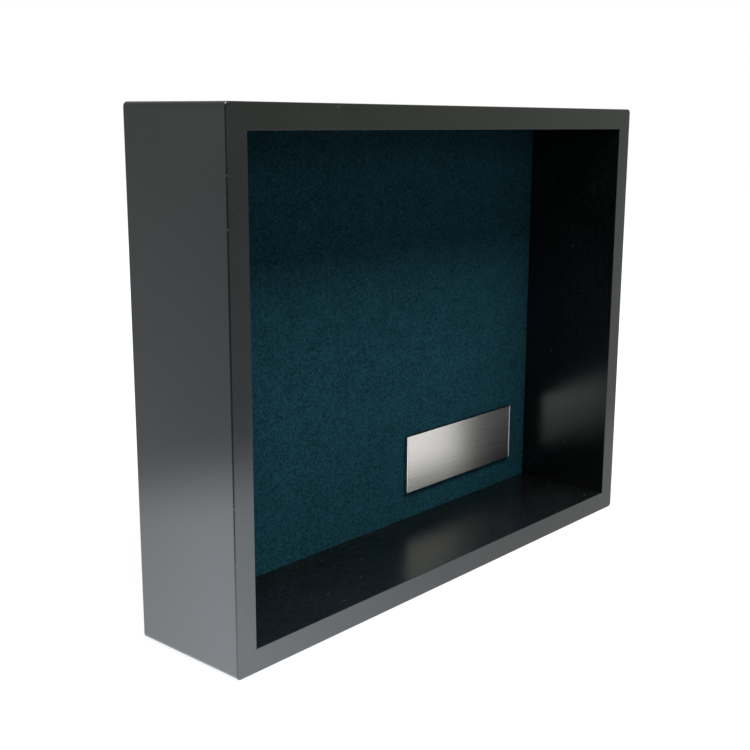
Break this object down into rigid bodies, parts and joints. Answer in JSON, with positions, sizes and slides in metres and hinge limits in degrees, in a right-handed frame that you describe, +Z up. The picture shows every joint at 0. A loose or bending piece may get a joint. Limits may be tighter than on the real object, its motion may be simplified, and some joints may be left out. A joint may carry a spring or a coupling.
{
  "type": "shadow box",
  "caption": "Open-fronted black lacquered shadow box with a teal velvet back, a small blank steel nameplate, turn buttons holding the back board and a sawtooth hanger.",
  "frame": {"origin": "centre of the bottom face that the box stands on", "axes": "+Z up, +X to the right seen from the front, the open front faces -Y"},
  "size_m": [0.2364, 0.0523, 0.185],
  "materials": {
    "black_lacquer": "satin",
    "birch_ply": "matte",
    "hardboard": "matte",
    "teal_velvet": "matte",
    "adhesive_sheet": "matte",
    "brushed_steel": "satin",
    "zinc_plate": "satin"
  },
  "bodies": {
    "case": {"top_rail": "black_lacquer", "bottom_rail": "black_lacquer", "left_stile": "black_lacquer", "right_stile": "black_lacquer", "top_left_tongue": "birch_ply", "top_right_tongue": "birch_ply", "bottom_left_tongue": "birch_ply", "bottom_right_tongue": "birch_ply", "back_board": "hardboard", "velvet_lining": "teal_velvet", "plate_adhesive": "adhesive_sheet", "nameplate": "brushed_steel", "top_left_button_screw": "zinc_plate", "top_right_button_screw": "zinc_plate", "bottom_left_button_screw": "zinc_plate", "bottom_right_button_screw": "zinc_plate", "sawtooth_hanger": "zinc_plate", "hanger_nail_left": "zinc_plate", "hanger_nail_right": "zinc_plate"},
    "top_left_button": {"top_left_button": "zinc_plate"},
    "top_right_button": {"top_right_button": "zinc_plate"},
    "bottom_left_button": {"bottom_left_button": "zinc_plate"},
    "bottom_right_button": {"bottom_right_button": "zinc_plate"}
  },
  "joints": [
    {"name": "top_left_button_turn", "type": "hinge", "parent": "case", "child": "top_left_button", "pos_m": [-0.06858, 0.02505, 0.1822], "axis": [0, 1, 0], "range_deg": [-90, 90]},
    {"name": "top_right_button_turn", "type": "hinge", "parent": "case", "child": "top_right_button", "pos_m": [0.06858, 0.02505, 0.1822], "axis": [0, 1, 0], "range_deg": [-90, 90]},
    {"name": "bottom_left_button_turn", "type": "hinge", "parent": "case", "child": "bottom_left_button", "pos_m": [-0.06858, 0.02505, 0.0028], "axis": [0, 1, 0], "range_deg": [-90, 90]},
    {"name": "bottom_right_button_turn", "type": "hinge", "parent": "case", "child": "bottom_right_button", "pos_m": [0.06858, 0.02505, 0.0028], "axis": [0, 1, 0], "range_deg": [-90, 90]}
  ]
}
